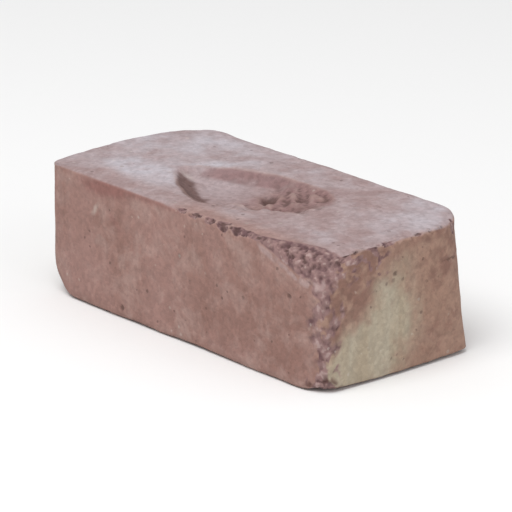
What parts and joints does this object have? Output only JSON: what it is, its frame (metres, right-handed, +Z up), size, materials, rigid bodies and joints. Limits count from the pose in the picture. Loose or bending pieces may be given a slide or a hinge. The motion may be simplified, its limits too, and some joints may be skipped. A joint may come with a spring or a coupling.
{
  "type": "clay brick",
  "caption": "Fired clay brick with soft arrises, a drop-shaped frog in its upper bed and a broken corner, for laying in mortar on its lower bed.",
  "frame": {"origin": "centre of the lower bed, the face that lies on the floor or on the course below", "axes": "+X along the brick's length, towards the header with the broken corner; +Y across its width, away from the stretcher with the broken corner; +Z up, out of the bed with the frog"},
  "size_m": [0.23, 0.11, 0.076],
  "materials": {
    "fired_clay": "matte"
  },
  "bodies": {
    "root": {"brick": "fired_clay"}
  },
  "joints": []
}
